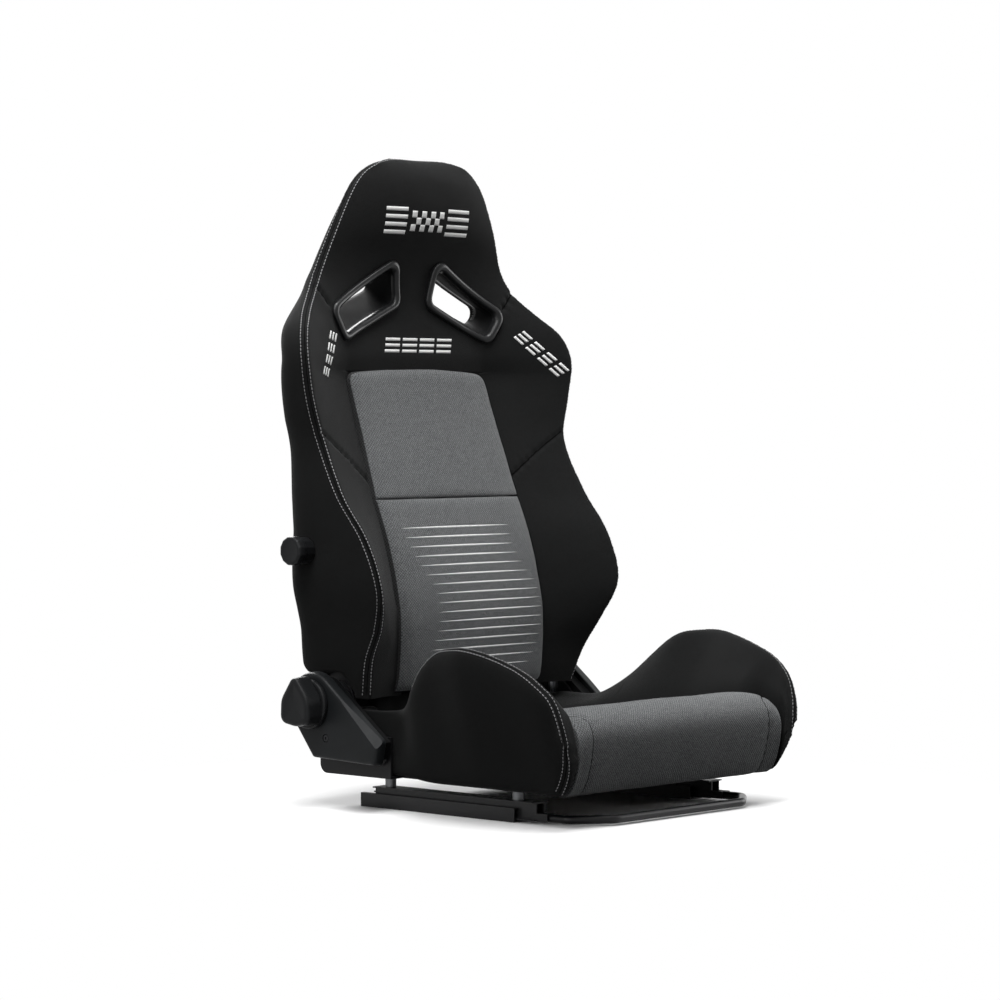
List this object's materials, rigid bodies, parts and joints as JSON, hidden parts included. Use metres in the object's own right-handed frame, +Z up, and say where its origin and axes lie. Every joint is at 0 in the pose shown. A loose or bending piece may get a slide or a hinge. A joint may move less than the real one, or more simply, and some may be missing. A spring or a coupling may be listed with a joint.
{
  "type": "racing seat",
  "caption": "reclining racing seat with side bolsters, two shoulder belt slots, lumbar knob, recline lever and slide rails",
  "frame": {"origin": "middle of the four mounting bolt holes, on the underside of the lower rails", "axes": "+X is the sitter's left, -Y is the front, +Z is up; the rails run along Y"},
  "size_m": [0.597, 0.6001, 0.95],
  "materials": {
    "rail_paint": "black powder coat, satin",
    "bar_paint": "black gloss paint",
    "frame_paint": "dark grey paint, satin",
    "zinc_steel": "zinc plated, slightly dull",
    "recliner_steel": "oiled pressed steel",
    "dark_screw": "blackened steel, satin",
    "slide_plastic": "natural acetal",
    "cover_plastic": "fine moulded grain, low sheen",
    "knob_plastic": "fine moulded grain",
    "bezel_plastic": "polished black",
    "panel_plastic": "coarse leather grain",
    "webbing": "woven elastic webbing",
    "mat_rubber": "moulded rubber",
    "black_cloth": "black knitted cover over moulded foam, white twin stitching",
    "grey_cloth": "grey heather knit over moulded foam"
  },
  "bodies": {
    "rails": {"lower_rail_left": "rail_paint", "lower_rail_right": "rail_paint"},
    "carriage": {"upper_rail_left": "rail_paint", "upper_rail_right": "rail_paint", "guide_shoes": "slide_plastic", "bar_pivot_pins": "zinc_steel", "seat_spacers": "zinc_steel", "seat_bolts": "zinc_steel", "seat_pan": "rail_paint", "seat_mat": "mat_rubber", "seat_rear_trim": "cover_plastic", "seat_cushion": "grey_cloth", "seat_bolster_left": "black_cloth", "seat_bolster_right": "black_cloth", "hinge_plate_left": "frame_paint", "hinge_plate_right": "frame_paint", "hinge_bolts": "zinc_steel", "recliner_fixed_left": "recliner_steel", "recliner_fixed_right": "recliner_steel", "hinge_cover_left": "cover_plastic", "hinge_cover_right": "cover_plastic", "cover_screws": "dark_screw"},
    "slide_release": {"release_bar": "bar_paint", "latch_plates": "zinc_steel"},
    "lever": {"cross_shaft": "zinc_steel", "recline_lever": "cover_plastic"},
    "backrest": {"back_plate_left": "frame_paint", "back_plate_right": "frame_paint", "recliner_turning_left": "recliner_steel", "recliner_turning_right": "recliner_steel", "back_frame": "frame_paint", "head_post": "frame_paint", "back_straps": "webbing", "lumbar_bracket": "frame_paint", "back_wing_left": "black_cloth", "back_wing_right": "black_cloth", "shoulder_yoke": "black_cloth", "head_pad": "black_cloth", "back_pad_lower": "grey_cloth", "back_pad_upper": "grey_cloth", "back_skirt": "black_cloth", "back_panel": "panel_plastic", "belt_bezel_left": "bezel_plastic", "belt_bezel_right": "bezel_plastic"},
    "lumbar_cam": {"lumbar_shaft": "zinc_steel", "lumbar_knob": "knob_plastic"},
    "lumbar_plate": {"lumbar_plate": "frame_paint"}
  },
  "joints": [
    {"name": "seat_slide", "type": "slide", "parent": "rails", "child": "carriage", "axis": [0, 1, 0], "range_m": [-0.08, 0.08]},
    {"name": "bar_lift", "type": "hinge", "parent": "carriage", "child": "slide_release", "pos_m": [0, -0.11, 0.009], "axis": [-1, 0, 0], "range_deg": [0, 4], "stiffness_Nm_per_rad": 3, "springref_deg": -17.19},
    {"name": "back_recline", "type": "hinge", "parent": "carriage", "child": "backrest", "pos_m": [0, 0.19, 0.15], "axis": [1, 0, 0], "range_deg": [-60, 10]},
    {"name": "lever_pull", "type": "hinge", "parent": "carriage", "child": "lever", "pos_m": [0, 0.19, 0.15], "axis": [1, 0, 0], "range_deg": [0, 30], "stiffness_Nm_per_rad": 0.8, "springref_deg": -28.65},
    {"name": "lumbar_turn", "type": "hinge", "parent": "backrest", "child": "lumbar_cam", "pos_m": [-0.28, 0.204, 0.371], "axis": [1, 0, 0], "range_deg": [0, 180]},
    {"name": "lumbar_push", "type": "slide", "parent": "backrest", "child": "lumbar_plate", "axis": [0, -1, 0], "range_m": [0, 0.012]}
  ],
  "couplings": [
    {"joint": "lumbar_turn", "follows": "lumbar_push", "rad_per_m": 261.8}
  ]
}
